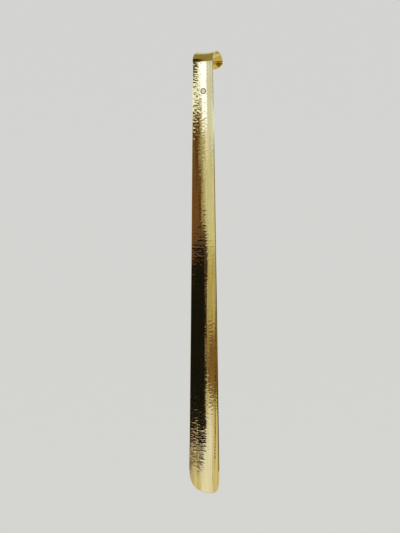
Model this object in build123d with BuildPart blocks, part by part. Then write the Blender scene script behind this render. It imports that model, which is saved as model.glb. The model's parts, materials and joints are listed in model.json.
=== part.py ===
from build123d import *
from math import asin, cos, sin
import os

# Long one-piece metal shoehorn with a hanging hook and a lined hanging hole.
# The blade is one strip of sheet metal.  Its section is a shallow trough that opens towards -Y and
# deepens towards the tongue.  Above the hole the strip bends back over +Y into a hook.
# Origin: the seat of the hook, where a rod touches the inside of the crown.  +Z is up.

os.makedirs("parts", exist_ok=True)

# Driving dimensions, millimetres
sheet = 1.2                 # thickness of the strip
overall_length = 500.0      # crown to tongue tip, on the centre line

hook_inner_radius = 9.6     # inside of the hook bend
hook_chord = 26.0           # width across the trough at the hook
hook_depth = 1.3            # depth of the trough at the hook
hook_tab_drop = 7.4         # tab below the centre of the bend
tab_round = 6.5             # height of the tab's rounded end
tab_fullness = 0.55         # 0.55 is an ellipse, more is squarer

tongue_chord = 38.9         # width across the trough at the tongue
tongue_depth = 8.5          # depth of the trough at the tongue
tongue_level = 470.0        # how far below the seat those two are measured
depth_growth = 1.28         # exponent of the deepening, slow at first
flare_length = 70.0         # last stretch, which widens and deepens a little more
flare_width = 0.3           # extra half width at the very tip
flare_depth = 1.0           # extra depth at the very tip
tongue_round = 30.0         # height of the tongue's rounded end
tongue_fullness = 0.71

hole_drop = 42.5            # hanging hole below the seat
hole_diameter = 5.4
eyelet_bore = 4.7
eyelet_flange = 7.2         # diameter of both rolled flanges
eyelet_lip = 0.45           # how far a rolled flange stands off the sheet
flange_gap = 0.15           # clearance that the curved front face needs at the flange's sides

edge_rounding = 0.3         # deburred edges of the strip
shaft_stations = 13         # sections along the shaft and tongue

# Derived dimensions
middle_radius = hook_inner_radius + sheet / 2
bend_level = -hook_inner_radius
tip_level = sheet - overall_length
shaft_y = -middle_radius
tab_end_level = bend_level - hook_tab_drop


def flare(level):
    """Share of the tongue's flare at a level, which is a negative height: 0 above it, 1 at the tip."""
    return max(0.0, (tip_level + flare_length - level) / flare_length)**2


def trough_chord(level):
    """Width across the trough at a level."""
    share = (bend_level - level) / (bend_level + tongue_level)
    return hook_chord + (tongue_chord - hook_chord) * share + 2 * flare_width * flare(level)


def trough_depth(level):
    """Depth of the trough at a level."""
    share = (bend_level - level) / (bend_level + tongue_level)
    return (hook_depth + (tongue_depth - hook_depth) * share**depth_growth
            + flare_depth * flare(level))


def trough_outline(chord, depth):
    """Closed outline of the strip's section: two concentric arcs, opening towards -Y."""
    half = chord / 2
    radius = (half**2 + depth**2) / (2 * depth)
    spread = asin(half / radius)

    def on_arc(arc_radius, angle):
        return (arc_radius * sin(angle), arc_radius * cos(angle) - radius)

    inner = radius - sheet / 2
    outer = radius + sheet / 2
    front = ThreePointArc(on_arc(inner, -spread), on_arc(inner, 0), on_arc(inner, spread))
    back = ThreePointArc(on_arc(outer, -spread), on_arc(outer, 0), on_arc(outer, spread))
    Line(front @ 0, back @ 0)
    Line(front @ 1, back @ 1)


def rounded_end(half_width, end_level, height, fullness):
    """Closed outline, in X and Z, of what is left of a strip with a rounded lower end."""
    shoulder = end_level + height
    handle_x = half_width * fullness
    handle_z = shoulder - height * fullness
    Bezier((0, end_level), (handle_x, end_level), (half_width, handle_z), (half_width, shoulder))
    Bezier((0, end_level), (-handle_x, end_level), (-half_width, handle_z), (-half_width, shoulder))
    roof = shoulder + height
    Polyline((half_width, shoulder), (half_width, roof), (-half_width, roof), (-half_width, shoulder))


# Blade: tongue, shaft, hook and tab, pressed from one strip
with BuildPart() as blade:
    for number in range(shaft_stations):
        level = bend_level + (tip_level - bend_level) * number / (shaft_stations - 1)
        with BuildSketch(Plane.XY.offset(level)):
            with BuildLine(Location((0, shaft_y))):
                trough_outline(trough_chord(level), trough_depth(level))
            make_face()
    loft()
    with BuildSketch(Plane.XY.offset(bend_level)):
        with BuildLine(Location((0, shaft_y))):
            trough_outline(hook_chord, hook_depth)
        make_face()
    revolve(axis=Axis((0, 0, bend_level), (1, 0, 0)), revolution_arc=-180)
    bend_end = blade.faces().filter_by(Axis.Z).sort_by(Axis.Y)[-1]
    extrude(bend_end, amount=hook_tab_drop)
    end_faces = blade.faces().filter_by(Axis.Z)
    fillet(blade.edges() - end_faces.edges(), radius=edge_rounding)
    # Rounded tongue
    tongue_half_width = (trough_chord(tip_level) + sheet) / 2
    with BuildSketch(Plane.XZ):
        with Locations((0, tip_level)):
            Rectangle(3 * tongue_half_width, 2 * tongue_round)
        with BuildLine():
            rounded_end(tongue_half_width, tip_level, tongue_round, tongue_fullness)
        make_face(mode=Mode.SUBTRACT)
    extrude(amount=2 * tongue_chord, both=True, mode=Mode.SUBTRACT)
    # Rounded tab
    tab_half_width = (hook_chord + sheet) / 2
    with BuildSketch(Plane.XZ):
        with Locations((0, tab_end_level)):
            Rectangle(3 * tab_half_width, 2 * tab_round)
        with BuildLine():
            rounded_end(tab_half_width, tab_end_level, tab_round, tab_fullness)
        make_face(mode=Mode.SUBTRACT)
    extrude(amount=-hook_chord, mode=Mode.SUBTRACT)
    # Hanging hole
    with Locations(Location((0, shaft_y, -hole_drop), (90, 0, 0))):
        Hole(hole_diameter / 2, depth=sheet * 2)

# Eyelet: short tube that lines the hanging hole, rolled over at both ends
with BuildPart() as eyelet:
    with BuildSketch(Plane.XY.offset(-hole_drop)):
        with BuildLine(Location((0, shaft_y))):
            bore = eyelet_bore / 2
            barrel = hole_diameter / 2
            rim = eyelet_flange / 2
            crest = (bore + rim) / 2
            front = -sheet / 2 - flange_gap
            back = sheet / 2
            Line((bore, front), (bore, back))
            ThreePointArc((bore, front), (crest, front - eyelet_lip), (rim, front))
            Polyline((rim, front), (barrel, front), (barrel, back), (rim, back))
            ThreePointArc((rim, back), (crest, back + eyelet_lip), (bore, back))
        make_face()
    revolve(axis=Axis((0, shaft_y, -hole_drop), (0, 1, 0)))

blade.part.label = "blade"
eyelet.part.label = "eyelet"

export_step(blade.part, "parts/blade.step")
export_step(eyelet.part, "parts/eyelet.step")
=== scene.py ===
import json
from collections import namedtuple
from math import cos, pi, radians, sin

import bmesh
import bpy
import numpy as np
from mathutils import Matrix, Vector


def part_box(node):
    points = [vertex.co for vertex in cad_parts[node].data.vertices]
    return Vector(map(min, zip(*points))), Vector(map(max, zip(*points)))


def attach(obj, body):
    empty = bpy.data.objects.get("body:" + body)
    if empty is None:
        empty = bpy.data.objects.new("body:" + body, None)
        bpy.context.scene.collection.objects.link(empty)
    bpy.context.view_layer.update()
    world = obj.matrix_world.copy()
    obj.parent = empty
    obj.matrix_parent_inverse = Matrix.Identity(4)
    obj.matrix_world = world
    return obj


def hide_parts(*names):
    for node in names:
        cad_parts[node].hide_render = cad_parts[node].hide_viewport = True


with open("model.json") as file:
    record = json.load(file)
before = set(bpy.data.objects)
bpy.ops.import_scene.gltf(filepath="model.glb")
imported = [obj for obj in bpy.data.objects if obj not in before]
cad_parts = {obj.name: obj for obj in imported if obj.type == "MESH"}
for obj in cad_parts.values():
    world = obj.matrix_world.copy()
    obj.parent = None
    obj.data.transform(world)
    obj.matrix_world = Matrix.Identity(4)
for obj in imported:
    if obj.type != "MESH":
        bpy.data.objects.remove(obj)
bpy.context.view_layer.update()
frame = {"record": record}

MM = 0.001

# What the frame gives, in millimetres: origin at the hook's seat, +Z up, trough open towards -Y,
# hook bent back over +Y.
hanging_hole = next(m for m in frame["record"]["mounts"] if m["name"] == "hanging_hole")
blade_low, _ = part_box("blade")
eyelet_low, eyelet_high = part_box("eyelet")
TIP_LEVEL = round(blade_low[2] / MM, 2)
HOLE_DROP = round(-hanging_hole["pos_m"][2] / MM, 2)
EYELET_BORE_RADIUS = hanging_hole["dims"]["r_mm"]
EYELET_RIM_RADIUS = round((eyelet_high[0] - eyelet_low[0]) / 2 / MM, 2)

# The strip, in millimetres
SHEET = 1.2
HOOK_INNER_RADIUS = 9.6
HOOK_CHORD = 26.0
HOOK_DEPTH = 1.3
HOOK_TAB_DROP = 7.4
TAB_ROUND = 6.5
TAB_FULLNESS = 0.55
TONGUE_CHORD = 38.9
TONGUE_DEPTH = 8.5
TONGUE_LEVEL = 470.0        # how far below the seat the tongue's chord and depth are measured
DEPTH_GROWTH = 1.28         # exponent of the deepening, slow at first
FLARE_LENGTH = 70.0         # last stretch, which widens and deepens a little more
FLARE_WIDTH = 0.3
FLARE_DEPTH = 1.0
TONGUE_ROUND = 30.0
TONGUE_FULLNESS = 0.71
HOLE_RADIUS = 2.7

MIDDLE_RADIUS = HOOK_INNER_RADIUS + SHEET / 2
BEND_LEVEL = -HOOK_INNER_RADIUS
SHAFT_LENGTH = BEND_LEVEL - TIP_LEVEL
BEND_LENGTH = pi * MIDDLE_RADIUS
STRIP_LENGTH = SHAFT_LENGTH + BEND_LENGTH + HOOK_TAB_DROP
HOLE_ALONG = -HOLE_DROP - TIP_LEVEL

# Mesh of the strip
COLUMNS = 44
ROWS = 960
RIM_STEPS = 6
RIM_WIDTH = 0.45            # how far the rounded rim reaches in from the strip's edge
TONGUE_BLEND = 70.0         # stretch over which straight rows turn into the rounded tongue
TAB_BLEND = 15.0
BLEND_SPEED = 1.5           # how soon within that stretch the columns follow
SHARP_ANGLE = radians(60)   # steeper edges, such as the hanging hole's, are shaded sharp

# Hammered relief
DIMPLE_WIDTH = 3.0          # pitch of the dimples across the strip
DIMPLE_LENGTH = 2.4         # and along it
DIMPLE_HEIGHT = 0.04        # millimetres for each unit of the cells' height
DIMPLE_START = 100.0        # where in the pattern the strip's middle lies, in cells
DIMPLE_SEED = 3
CELL_PLACE = (0.1, 0.9)     # how far across its cell a dimple's middle may lie
CELL_BREADTH = (0.7, 1.3)   # spread of the dimples' sharpness
CELL_SHARPNESS = 14.0       # more makes the ridges between dimples sharper
CELL_LEVEL = 0.12           # the cells' height that lies level with the plain surface
RIPPLE_PITCH = 11.0
RIPPLE_HEIGHT = 0.012
RIPPLE_START = 300.0        # where in the pattern the strip's middle lies, in millimetres
RIPPLE_SEED = 5
SEAT_MARGIN = 5.0           # the relief fades out this close to the middle of the hanging hole
SEAT_FADE = 2.0
LIP_LENGTH = 26.0           # the tongue's lip is buffed, which leaves this share of the relief
LIP_SHARE = 0.05
LIP_FADE = 4.0
RIM_FADE = 2.0              # grid cells over which the relief fades out at the strip's edges

# Eyelet, in millimetres
EYELET_LIP = 0.45           # how far a rolled flange stands off the sheet
EYELET_GAP = 0.15           # the front flange stands off the curved face by this
EYELET_CLEARANCE = 0.02     # between the eyelet's barrel and the wall of the hole
EYELET_STEPS = 64
EYELET_ROLL_STEPS = 10

# Brass: the roughnesses are those of the glossiest and the dullest patches.
BRASS = (0.88, 0.76, 0.38, 1.0)
BRASS_DEEP = (0.84, 0.70, 0.31, 1.0)
BRASS_GLOSS = 0.03
BRASS_SATIN = 0.06
# The eyelet's colours vary at random like the blade's tarnish, but both are drawn much darker than the
# blade's brass: painted shade for the dark ring round the hanging hole.
EYELET_PALE_WITH_PAINTED_SHADE = (0.72, 0.60, 0.40, 1.0)
EYELET_DEEP_WITH_PAINTED_SHADE = (0.42, 0.34, 0.20, 1.0)
EYELET_GLOSS = 0.16
EYELET_SATIN = 0.26
NOISE_RANGE = (0.3, 0.7)    # a noise texture mostly stays between these
TARNISH_RANGE = (0.35, 0.75)
TARNISH_SCALE = 45.0        # patches per metre
FINE_SCALE = 900.0
GRAIN_SCALE = 800.0         # grains per metre along the strip
GRAIN_STRETCH = 0.6         # fewer across it
GRAIN_SMOOTHNESS = 0.35
GRAIN_HEIGHT = 0.0000015    # metres
GRAIN_SHARE = 0.3           # height of the finest grain as a share of the pits'

# Studio: light from all round, and soft panels over it, one a row, later rows over earlier ones.
# A panel's west and east are its azimuths and low and high its elevations, in degrees: azimuth 0
# is -Y and +90 is +X. Its lean moves its sides so many degrees west for each degree up.
Panel = namedtuple("Panel", "name west east low high blur_sides blur_ends colour lean",
                   defaults=(0.0,))
STUDIO_FILL = (0.64, 0.66, 0.57, 1.0)
MOTTLE_WIDTH = 14.0         # degrees of azimuth
MOTTLE_HEIGHT = 1.4         # degrees of elevation
MOTTLE_DEPTH = 0.16         # how much brighter and darker the panels' light gets with it
RAGGED_EDGE = 16.0          # degrees by which it moves the panels' sides
STUDIO_PANELS = [
    Panel("pale upper card", -190, 190, 2.6, 20.0, 5.0, 1.0, (0.74, 0.80, 0.95, 1.0)),
    Panel("amber top card", -120, 95, 7.3, 95.0, 8.0, 0.4, (0.30, 0.25, 0.10, 1.0)),
    Panel("cream zenith card", -190, 190, 78.0, 95.0, 8.0, 5.0, (0.80, 0.74, 0.60, 1.0)),
    Panel("black top corner", -30, 60, 8.4, 38.0, 5.0, 1.0, (0.012, 0.014, 0.004, 1.0)),
    Panel("cream low card", -190, 190, -91.0, -10.8, 5.0, 0.5, (0.66, 0.62, 0.48, 1.0)),
    Panel("cool low card", -62, 8, -91.0, -10.8, 5.0, 0.5, (0.82, 0.83, 0.98, 1.0)),
    Panel("rosy low card", 5, 75, -13.1, -10.8, 5.0, 0.3, (0.78, 0.66, 0.70, 1.0)),
    Panel("tan side card", -190, -35, -10.5, -2.4, 6.0, 1.0, (0.48, 0.42, 0.22, 1.0)),
    Panel("brown side card", -190, -35, -10.3, -6.7, 6.0, 0.7, (0.20, 0.12, 0.05, 1.0)),
    Panel("tan card", -29, 120, -2.8, 4.6, 2.5, 0.3, (0.36, 0.32, 0.20, 1.0)),
    Panel("brown card", -18.2, 120, -3.2, 4.4, 3.0, 0.3, (0.165, 0.078, 0.038, 1.0), -1.2),
    Panel("brown card's edge", -18.2, -9, -3.2, 4.4, 3.0, 0.3, (0.09, 0.042, 0.012, 1.0), -1.2),
    Panel("black flag's fringe", -41, 120, -12.15, -1.5, 4.0, 0.15, (0.13, 0.075, 0.05, 1.0), 1.06),
    Panel("black flag", -35, 120, -12.0, -2.5, 4.0, 0.15, (0.008, 0.008, 0.006, 1.0), 1.06),
    Panel("black flag's foot", -20, 20, -12.7, -12.0, 4.0, 0.15, (0.02, 0.015, 0.01, 1.0)),
    Panel("low dark strip", -10, 26, -13.6, -13.0, 4.0, 0.06, (0.02, 0.012, 0.01, 1.0)),
    Panel("low dark strip's end", 26, 66, -13.0, -12.45, 4.0, 0.06, (0.02, 0.012, 0.01, 1.0)),
    Panel("high olive strip", -27, 95, 6.0, 20.0, 4.0, 0.15, (0.08, 0.07, 0.02, 1.0)),
    Panel("strip light", -23, 95, 5.0, 6.0, 3.0, 0.15, (1.1, 1.25, 1.6, 1.0)),
    Panel("side light's glow", -37, -29, 0.0, 4.0, 2.5, 1.0, (0.80, 0.80, 0.85, 1.0)),
    Panel("side light", -39, -24, 3.8, 7.6, 2.5, 0.4, (1.5, 1.7, 2.8, 1.0)),
]

# Plain backdrop: its colours below and above the horizon, which blend between two elevations
BACKDROP_LOW = (0.665, 0.665, 0.640, 1.0)
BACKDROP_HIGH = (0.655, 0.655, 0.640, 1.0)
BACKDROP_BLEND = (-20.0, 10.0)

# Floor and soft box, in metres and watts
FLOOR_RADIUS = 1.2
FLOOR_LEVEL = -1.0
FLOOR_SEGMENTS = 96
FLOOR_PALE = (0.80, 0.79, 0.77, 1.0)
FLOOR_DARK = (0.74, 0.73, 0.71, 1.0)
FLOOR_GRAIN_SCALE = 60.0
FLOOR_ROUGHNESS = 0.7
SOFT_BOX_SIZE = 1.6
SOFT_BOX_POWER = 12.0
SOFT_BOX_HEIGHT = 1.4

# Camera, in degrees, metres and millimetres of lens
CAMERA_AZIMUTH = 30.3
CAMERA_ELEVATION = 3.7
CAMERA_ROLL = -0.67
CAMERA_DISTANCE = 1.290
CAMERA_TARGET = (-0.01313, 0.0, -0.2400)
CAMERA_LENS = 76.2
SENSOR = 36.0


def smooth(value):
    """Smooth step from 0 to 1."""
    value = np.clip(value, 0.0, 1.0)
    return value * value * (3.0 - 2.0 * value)


def fade(value, middle, width):
    """Smooth step from 0 to 1, of that width round a middle value."""
    return smooth((value - middle) / width + 0.5)


def unit(vectors):
    """The same directions at length 1."""
    return vectors / np.linalg.norm(vectors, axis=-1, keepdims=True)


def section(along):
    """Radius and half angle of the trough's middle arc at a distance along the strip."""
    level = TIP_LEVEL + np.clip(along, 0.0, SHAFT_LENGTH)
    share = (BEND_LEVEL - level) / (BEND_LEVEL + TONGUE_LEVEL)
    flare = np.clip((TIP_LEVEL + FLARE_LENGTH - level) / FLARE_LENGTH, 0.0, None) ** 2
    half = (HOOK_CHORD + (TONGUE_CHORD - HOOK_CHORD) * share) / 2 + FLARE_WIDTH * flare
    depth = HOOK_DEPTH + (TONGUE_DEPTH - HOOK_DEPTH) * share**DEPTH_GROWTH + FLARE_DEPTH * flare
    radius = (half**2 + depth**2) / (2 * depth)
    return radius, np.arcsin(half / radius)


def strip_point(along, angle, height):
    """Points of the strip: along it from the tongue's tip, angle round the trough's arc, and
    height off the middle of the sheet towards the open side of the trough."""
    radius, _ = section(along)
    x = (radius - height) * np.sin(angle)
    reach = MIDDLE_RADIUS + radius - (radius - height) * np.cos(angle)
    turn = np.clip((along - SHAFT_LENGTH) / MIDDLE_RADIUS, 0.0, pi)
    before = np.clip(SHAFT_LENGTH - along, 0.0, None)
    past = np.clip(along - SHAFT_LENGTH - BEND_LENGTH, 0.0, None)
    y = -reach * np.cos(turn)
    z = BEND_LEVEL + reach * np.sin(turn) - before - past
    return np.stack([x, y, z], axis=-1)


def end_curve(share, fullness):
    """A rounded end's quarter as shares of its half width and height, share 0 at the middle."""
    rest = 1.0 - share
    across = 3 * fullness * share * rest**2 + 3 * share**2 * rest + share**3
    rise = 3 * (1 - fullness) * share**2 * rest + share**3
    return across, rise


def strip_grid():
    """Distance along and arc angle of every grid point, with the grid's edge on the strip's
    outline, drawn in by the width of the rounded rim."""
    column = np.linspace(-1.0, 1.0, COLUMNS + 1)[None, :]
    row = np.linspace(0.0, STRIP_LENGTH, ROWS + 1)[:, None]
    side = np.abs(column)
    tongue_across, tongue_rise = end_curve(side, TONGUE_FULLNESS)
    tab_across, tab_rise = end_curve(side, TAB_FULLNESS)
    near_tongue = np.clip(1.0 - row / TONGUE_BLEND, 0.0, 1.0)
    near_tab = np.clip(1.0 - (STRIP_LENGTH - row) / TAB_BLEND, 0.0, 1.0)
    along = row + (TONGUE_ROUND * tongue_rise + RIM_WIDTH) * near_tongue
    along = along - (TAB_ROUND * tab_rise + RIM_WIDTH) * near_tab
    radius, spread = section(along)
    spread = spread - RIM_WIDTH / radius
    even = side * spread
    tongue_angle = np.arcsin(tongue_across * np.sin(spread))
    tab_angle = np.arcsin(tab_across * np.sin(spread))
    angle = even + (tongue_angle - even) * smooth(near_tongue * BLEND_SPEED)
    angle = angle + (tab_angle - even) * smooth(near_tab * BLEND_SPEED)
    return along, np.sign(column) * angle


def cell_noise(x, y):
    """Shallow round-bottomed cells of unit pitch, from 0 in their middles up to their ridges."""
    rng = np.random.default_rng(DIMPLE_SEED)
    repeat = 97
    place = rng.uniform(*CELL_PLACE, (repeat, repeat, 2))
    breadth = rng.uniform(*CELL_BREADTH, (repeat, repeat))
    column, row = np.floor(x).astype(int), np.floor(y).astype(int)
    total = np.zeros_like(x)
    for dx in (-1, 0, 1):
        for dy in (-1, 0, 1):
            cell = (column + dx) % repeat, (row + dy) % repeat
            off_x = x - column - dx - place[cell][..., 0]
            off_y = y - row - dy - place[cell][..., 1]
            total += np.exp(-CELL_SHARPNESS * breadth[cell] * (off_x**2 + off_y**2))
    return -np.log(total) / CELL_SHARPNESS


def wave_noise(x, y):
    """Smooth waves of unit pitch, from -1 to 1."""
    rng = np.random.default_rng(RIPPLE_SEED)
    repeat = 64
    values = rng.uniform(-1.0, 1.0, (repeat, repeat))
    column, row = np.floor(x).astype(int), np.floor(y).astype(int)
    share_x, share_y = smooth(x - column), smooth(y - row)
    corner = [values[(column + dx) % repeat, (row + dy) % repeat] for dx in (0, 1) for dy in (0, 1)]
    low = corner[0] + (corner[1] - corner[0]) * share_y
    high = corner[2] + (corner[3] - corner[2]) * share_y
    return low + (high - low) * share_x


def steps_from_edge(count):
    """How many steps each of so many places in a row is from the nearer end."""
    place = np.arange(count)
    return np.minimum(place, count - 1 - place)


def relief(along, angle):
    """Height of the hammered surface over the plain one."""
    radius, _ = section(along)
    across = radius * angle
    dimples = cell_noise(across / DIMPLE_WIDTH + DIMPLE_START, along / DIMPLE_LENGTH)
    ripples = wave_noise((across + RIPPLE_START) / RIPPLE_PITCH, along / RIPPLE_PITCH)
    height = DIMPLE_HEIGHT * (dimples - CELL_LEVEL) + RIPPLE_HEIGHT * ripples
    from_hole = np.hypot(across, along - HOLE_ALONG)
    height = height * fade(from_hole, SEAT_MARGIN, SEAT_FADE)
    height = height * (LIP_SHARE + (1 - LIP_SHARE) * fade(along, LIP_LENGTH, LIP_FADE))
    rows, columns = along.shape
    to_side = steps_from_edge(columns)[None, :]
    to_end = steps_from_edge(rows)[:, None]
    return height * smooth(to_side / RIM_FADE) * smooth(to_end / RIM_FADE)


def make_object(name, points, faces, material):
    """A smooth-shaded mesh object from points in millimetres."""
    mesh = bpy.data.meshes.new(name)
    mesh.from_pydata((np.asarray(points) * MM).tolist(), [], faces)
    mesh.validate()
    mesh.polygons.foreach_set("use_smooth", [True] * len(mesh.polygons))
    mesh.set_sharp_from_angle(angle=SHARP_ANGLE)
    mesh.materials.append(material)
    made = bpy.data.objects.new(name, mesh)
    bpy.context.collection.objects.link(made)
    return made


def cut_hole(along, angle, front, back):
    """Draws the grid points round the hanging hole to its circle, on both faces. Returns which
    grid cells are open."""
    radius, _ = section(along)
    offset = np.stack([radius * angle, along - HOLE_ALONG], axis=-1)
    distance = np.linalg.norm(offset, axis=-1)
    inside = distance < HOLE_RADIUS
    open_cell = inside[:-1, :-1] | inside[1:, :-1] | inside[:-1, 1:] | inside[1:, 1:]
    touched = np.zeros_like(inside)
    for r, c in np.argwhere(open_cell):
        touched[r:r + 2, c:c + 2] = True
    ring = touched & ~inside
    drawn = offset[ring] * (HOLE_RADIUS / distance[ring])[:, None]
    ring_along = drawn[:, 1] + HOLE_ALONG
    ring_angle = drawn[:, 0] / radius[ring]
    front[ring] = strip_point(ring_along, ring_angle, SHEET / 2)
    back[ring] = strip_point(ring_along, ring_angle, -SHEET / 2)
    return open_cell


def closed_cells(index, open_cell):
    """The four corners of every closed grid cell, in order round it."""
    corners = index[:-1, :-1], index[:-1, 1:], index[1:, 1:], index[1:, :-1]
    return np.stack([corner[~open_cell] for corner in corners], axis=-1)


def hole_wall(index, open_cell):
    """The wall of the hole: a face from front to back wherever an open cell meets a closed one."""
    back = index.size
    faces = []
    for r, c in np.argwhere(open_cell):
        corners = index[r, c], index[r, c + 1], index[r + 1, c + 1], index[r + 1, c]
        beyond = open_cell[r - 1, c], open_cell[r, c + 1], open_cell[r + 1, c], open_cell[r, c - 1]
        for side in range(4):
            if not beyond[side]:
                start, end = corners[side], corners[(side + 1) % 4]
                faces.append((start, end, back + end, back + start))
    return np.array(faces)


def edge_loop(grid):
    """A grid's values round its edge, in order."""
    return np.concatenate([grid[0], grid[1:, -1], grid[-1, -2::-1], grid[-2:0:-1, 0]])


def rim_points(middle, front):
    """Half ellipses from the front face's edge to the back face's edge, without their ends."""
    middle = edge_loop(middle)
    normal = unit(edge_loop(front) - middle)
    tangent = unit(np.roll(middle, -1, axis=0) - np.roll(middle, 1, axis=0))
    outward = unit(np.cross(tangent, normal))
    turns = [pi * step / RIM_STEPS for step in range(1, RIM_STEPS)]
    return [middle + outward * RIM_WIDTH * sin(turn) + normal * SHEET / 2 * cos(turn)
            for turn in turns]


def rim_faces(index):
    """Faces between neighbouring rings of the rim, from the front face's edge to the back's."""
    front = edge_loop(index)
    count = len(front)
    between = 2 * index.size + np.arange(count * (RIM_STEPS - 1)).reshape(-1, count)
    rings = [front, *between, index.size + front]
    return [np.stack([np.roll(upper, -1), upper, lower, np.roll(lower, -1)], axis=-1)
            for upper, lower in zip(rings[:-1], rings[1:])]


def make_blade(material):
    """The whole strip: two hammered faces, a rounded rim all round, and the hanging hole."""
    along, angle = strip_grid()
    bumps = relief(along, angle)
    middle = strip_point(along, angle, 0.0)
    front = strip_point(along, angle, SHEET / 2 + bumps)
    back = strip_point(along, angle, bumps - SHEET / 2)
    open_cell = cut_hole(along, angle, front, back)
    index = np.arange(along.size).reshape(along.shape)
    front_faces = closed_cells(index, open_cell)
    back_faces = index.size + front_faces[:, ::-1]
    faces = [front_faces, back_faces, hole_wall(index, open_cell), *rim_faces(index)]
    points = [front.reshape(-1, 3), back.reshape(-1, 3), *rim_points(middle, front)]
    used, renumbered = np.unique(np.concatenate(faces), return_inverse=True)
    faces = renumbered.reshape(-1, 4).tolist()
    return make_object("hammered_blade", np.concatenate(points)[used], faces, material)


def eyelet_profile():
    """Radius and height of the eyelet's section, from the bore over both rolled flanges."""
    front = SHEET / 2 + EYELET_GAP
    back = -SHEET / 2
    crest = (EYELET_BORE_RADIUS + EYELET_RIM_RADIUS) / 2
    reach = (EYELET_RIM_RADIUS - EYELET_BORE_RADIUS) / 2
    barrel = HOLE_RADIUS - EYELET_CLEARANCE
    roll = [pi * step / EYELET_ROLL_STEPS for step in range(EYELET_ROLL_STEPS + 1)]
    front_roll = [(crest - reach * cos(turn), front + EYELET_LIP * sin(turn)) for turn in roll]
    back_roll = [(crest + reach * cos(turn), back - EYELET_LIP * sin(turn)) for turn in roll]
    return front_roll + [(barrel, front), (barrel, back)] + back_roll


def make_eyelet(material):
    """The tube through the hanging hole, rolled over against both faces of the strip."""
    profile = eyelet_profile()
    count = len(profile)
    points = []
    faces = []
    for step in range(EYELET_STEPS):
        turn = 2 * pi * step / EYELET_STEPS
        for radius, height in profile:
            points.append((radius * cos(turn), -MIDDLE_RADIUS - height, radius * sin(turn) - HOLE_DROP))
        here, onward = step * count, (step + 1) % EYELET_STEPS * count
        for place in range(count):
            following = (place + 1) % count
            faces.append((here + place, here + following, onward + following, onward + place))
    return make_object("rolled_eyelet", points, faces, material)


class Graph:
    """Short calls for building a tree of shader nodes."""

    def __init__(self, tree):
        self.tree = tree
        tree.nodes.clear()

    def node(self, kind, **settings):
        made = self.tree.nodes.new(kind)
        for name, value in settings.items():
            setattr(made, name, value)
        return made

    def feed(self, socket, source):
        """Link an output to an input, or set the input's value."""
        if isinstance(source, bpy.types.NodeSocket):
            self.tree.links.new(source, socket)
        else:
            socket.default_value = source

    def math(self, operation, first, second=0.0, third=0.0):
        made = self.node("ShaderNodeMath", operation=operation)
        self.feed(made.inputs[0], first)
        self.feed(made.inputs[1], second)
        self.feed(made.inputs[2], third)
        return made.outputs[0]

    def ramp(self, value, start, end, low=0.0, high=1.0):
        """Smooth step of value from low at start to high at end."""
        made = self.node("ShaderNodeMapRange", interpolation_type="SMOOTHSTEP")
        self.feed(made.inputs["Value"], value)
        self.feed(made.inputs["From Min"], start)
        self.feed(made.inputs["From Max"], end)
        self.feed(made.inputs["To Min"], low)
        self.feed(made.inputs["To Max"], high)
        return made.outputs["Result"]

    def window(self, value, start, end, blur):
        """1 between start and end and 0 outside them, blurred at both."""
        rise = self.ramp(value, start - blur, start + blur)
        return self.math("MULTIPLY", rise, self.ramp(value, end + blur, end - blur))

    def mix(self, share, first, second):
        """Blend of two colours."""
        made = self.node("ShaderNodeMix", data_type="RGBA")
        self.feed(made.inputs["Factor"], share)
        self.feed(made.inputs["A"], first)
        self.feed(made.inputs["B"], second)
        return made.outputs["Result"]

    def noise(self, place, scale, detail=2.0):
        made = self.node("ShaderNodeTexNoise")
        self.feed(made.inputs["Vector"], place)
        self.feed(made.inputs["Scale"], scale)
        self.feed(made.inputs["Detail"], detail)
        return made.outputs["Fac"]

    def cells(self, place, scale, smoothness):
        """Distance to the nearest of scattered points: shallow pits with sharp ridges."""
        made = self.node("ShaderNodeTexVoronoi", feature="SMOOTH_F1")
        self.feed(made.inputs["Vector"], place)
        self.feed(made.inputs["Scale"], scale)
        self.feed(made.inputs["Smoothness"], smoothness)
        return made.outputs["Distance"]

    def bump(self, height, distance):
        """A bump node for a height that is 1 at that distance in metres."""
        made = self.node("ShaderNodeBump")
        self.feed(made.inputs["Height"], height)
        self.feed(made.inputs["Strength"], 1.0)
        self.feed(made.inputs["Distance"], distance)
        return made

    def squeezed(self, place, scale):
        """Places with each axis stretched by its own scale."""
        made = self.node("ShaderNodeMapping")
        self.feed(made.inputs["Vector"], place)
        self.feed(made.inputs["Scale"], scale)
        return made.outputs["Vector"]


def new_material(name):
    """A new material's node graph, its Principled shader, and places in the object's space."""
    material = bpy.data.materials.new(name)
    material.use_nodes = True
    graph = Graph(material.node_tree)
    output = graph.node("ShaderNodeOutputMaterial")
    shader = graph.node("ShaderNodeBsdfPrincipled")
    graph.feed(output.inputs["Surface"], shader.outputs["BSDF"])
    place = graph.node("ShaderNodeTexCoord").outputs["Object"]
    return material, graph, shader, place


def make_brass(name, bright, dull, gloss, satin, grain_height):
    """Polished yellow metal: a drifting tint, patchy gloss and a fine grain in its surface."""
    material, graph, shader, place = new_material(name)
    tarnish = graph.ramp(graph.noise(place, TARNISH_SCALE, detail=3.0), *TARNISH_RANGE)
    fine = graph.noise(place, FINE_SCALE)
    graph.feed(shader.inputs["Base Color"], graph.mix(tarnish, bright, dull))
    graph.feed(shader.inputs["Roughness"], graph.ramp(fine, *NOISE_RANGE, gloss, satin))
    graph.feed(shader.inputs["Metallic"], 1.0)
    squeezed = graph.squeezed(place, (GRAIN_STRETCH, GRAIN_STRETCH, 1.0))
    pits = graph.bump(graph.cells(squeezed, GRAIN_SCALE, GRAIN_SMOOTHNESS), grain_height)
    grain = graph.bump(fine, grain_height * GRAIN_SHARE)
    graph.feed(grain.inputs["Normal"], pits.outputs["Normal"])
    graph.feed(shader.inputs["Normal"], grain.outputs["Normal"])
    return material


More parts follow.
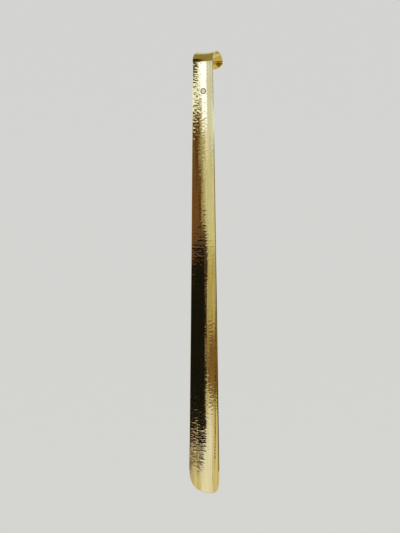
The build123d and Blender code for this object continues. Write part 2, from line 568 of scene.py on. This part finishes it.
def direction_angles(graph):
    """Azimuth and elevation of the direction that a ray leaves in, in degrees."""
    split = graph.node("ShaderNodeSeparateXYZ")
    graph.feed(split.inputs["Vector"], graph.node("ShaderNodeTexCoord").outputs["Generated"])
    facing = graph.math("MULTIPLY", split.outputs["Y"], -1.0)
    azimuth = graph.math("ARCTAN2", split.outputs["X"], facing)
    elevation = graph.math("ARCSINE", split.outputs["Z"])
    return graph.math("DEGREES", azimuth), graph.math("DEGREES", elevation)


def mottling(graph, azimuth, elevation):
    """Soft random patches over all directions, from -1 to 1."""
    spread = graph.node("ShaderNodeCombineXYZ")
    graph.feed(spread.inputs["X"], graph.math("DIVIDE", azimuth, MOTTLE_WIDTH))
    graph.feed(spread.inputs["Y"], graph.math("DIVIDE", elevation, MOTTLE_HEIGHT))
    return graph.ramp(graph.noise(spread.outputs["Vector"], 1.0), *NOISE_RANGE, -1.0, 1.0)


def panel_light(graph, azimuth, elevation):
    """Colour of the studio's light from a direction: the fill with every panel laid over it."""
    light = STUDIO_FILL
    for panel in STUDIO_PANELS:
        leaning = graph.math("ADD", azimuth, graph.math("MULTIPLY", elevation, panel.lean))
        inside = graph.window(leaning, panel.west, panel.east, panel.blur_sides)
        ends = graph.window(elevation, panel.low, panel.high, panel.blur_ends)
        light = graph.mix(graph.math("MULTIPLY", inside, ends), light, panel.colour)
    return light


def make_studio(graph, azimuth, elevation):
    """The mottled, ragged panels as a background shader."""
    mottle = mottling(graph, azimuth, elevation)
    ragged = graph.math("ADD", azimuth, graph.math("MULTIPLY", mottle, RAGGED_EDGE / 2))
    studio = graph.node("ShaderNodeBackground")
    graph.feed(studio.inputs["Color"], panel_light(graph, ragged, elevation))
    graph.feed(studio.inputs["Strength"], graph.math("MULTIPLY_ADD", mottle, MOTTLE_DEPTH, 1.0))
    return studio.outputs["Background"]


def make_backdrop(graph, elevation):
    """The plain pale backdrop as a background shader."""
    backdrop = graph.node("ShaderNodeBackground")
    height = graph.ramp(elevation, *BACKDROP_BLEND)
    graph.feed(backdrop.inputs["Color"], graph.mix(height, BACKDROP_LOW, BACKDROP_HIGH))
    return backdrop.outputs["Background"]


def make_world():
    """A plain pale backdrop, and a studio of soft panels that only reflections see."""
    world = bpy.data.worlds.new("studio")
    world.use_nodes = True
    bpy.context.scene.world = world
    graph = Graph(world.node_tree)
    azimuth, elevation = direction_angles(graph)
    chooser = graph.node("ShaderNodeMixShader")
    graph.feed(chooser.inputs[0], graph.node("ShaderNodeLightPath").outputs["Is Glossy Ray"])
    graph.feed(chooser.inputs[1], make_backdrop(graph, elevation))
    graph.feed(chooser.inputs[2], make_studio(graph, azimuth, elevation))
    output = graph.node("ShaderNodeOutputWorld")
    graph.feed(output.inputs["Surface"], chooser.outputs["Shader"])


def make_floor():
    """Plain pale floor well below the hanging object."""
    material, graph, shader, place = new_material("pale_floor")
    grain = graph.noise(place, FLOOR_GRAIN_SCALE, detail=4.0)
    graph.feed(shader.inputs["Base Color"], graph.mix(grain, FLOOR_DARK, FLOOR_PALE))
    graph.feed(shader.inputs["Roughness"], FLOOR_ROUGHNESS)
    mesh = bpy.data.meshes.new("studio_floor")
    disc = bmesh.new()
    bmesh.ops.create_circle(disc, cap_ends=True, segments=FLOOR_SEGMENTS, radius=FLOOR_RADIUS)
    bmesh.ops.translate(disc, verts=disc.verts, vec=(0.0, 0.0, FLOOR_LEVEL))
    disc.to_mesh(mesh)
    disc.free()
    mesh.materials.append(material)
    floor = bpy.data.objects.new("studio_floor", mesh)
    bpy.context.collection.objects.link(floor)


def make_light():
    """One large soft box over the object, which lights the floor."""
    lamp = bpy.data.lights.new("soft_box", "AREA")
    lamp.shape = "DISK"
    lamp.size = SOFT_BOX_SIZE
    lamp.energy = SOFT_BOX_POWER
    box = bpy.data.objects.new("soft_box", lamp)
    box.location = (0.0, 0.0, SOFT_BOX_HEIGHT)
    box.visible_glossy = False
    bpy.context.collection.objects.link(box)


def make_camera():
    """A long lens a little above the middle of the strip, looking in from its right."""
    azimuth = radians(CAMERA_AZIMUTH)
    elevation = radians(CAMERA_ELEVATION)
    roll = radians(CAMERA_ROLL)
    back = Vector((sin(azimuth) * cos(elevation), -cos(azimuth) * cos(elevation), sin(elevation)))
    level = Vector((cos(azimuth), sin(azimuth), 0.0))
    up = back.cross(level)
    right = level * cos(roll) + up * sin(roll)
    above = up * cos(roll) - level * sin(roll)
    lens = bpy.data.cameras.new("camera")
    lens.sensor_width = SENSOR
    lens.lens = CAMERA_LENS
    lens.dof.use_dof = False
    camera = bpy.data.objects.new("camera", lens)
    turn = Matrix((right, above, back)).transposed().to_4x4()
    camera.matrix_world = Matrix.Translation(Vector(CAMERA_TARGET) + back * CAMERA_DISTANCE) @ turn
    bpy.context.collection.objects.link(camera)
    bpy.context.scene.camera = camera


bpy.context.scene.view_settings.view_transform = "Standard"
hammered_brass = make_brass("hammered_brass", BRASS, BRASS_DEEP, BRASS_GLOSS, BRASS_SATIN,
                            GRAIN_HEIGHT)
# The eyelet's brass carries painted shade: its colours are darkened to stand for the dark ring round
# the hanging hole.
eyelet_brass = make_brass("eyelet_brass", EYELET_PALE_WITH_PAINTED_SHADE, EYELET_DEEP_WITH_PAINTED_SHADE, EYELET_GLOSS, EYELET_SATIN,
                          GRAIN_HEIGHT / 2)

blade = make_blade(hammered_brass)
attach(blade, "root")
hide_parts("blade")

eyelet = make_eyelet(eyelet_brass)
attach(eyelet, "root")
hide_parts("eyelet")

make_world()
make_floor()
make_light()
make_camera()
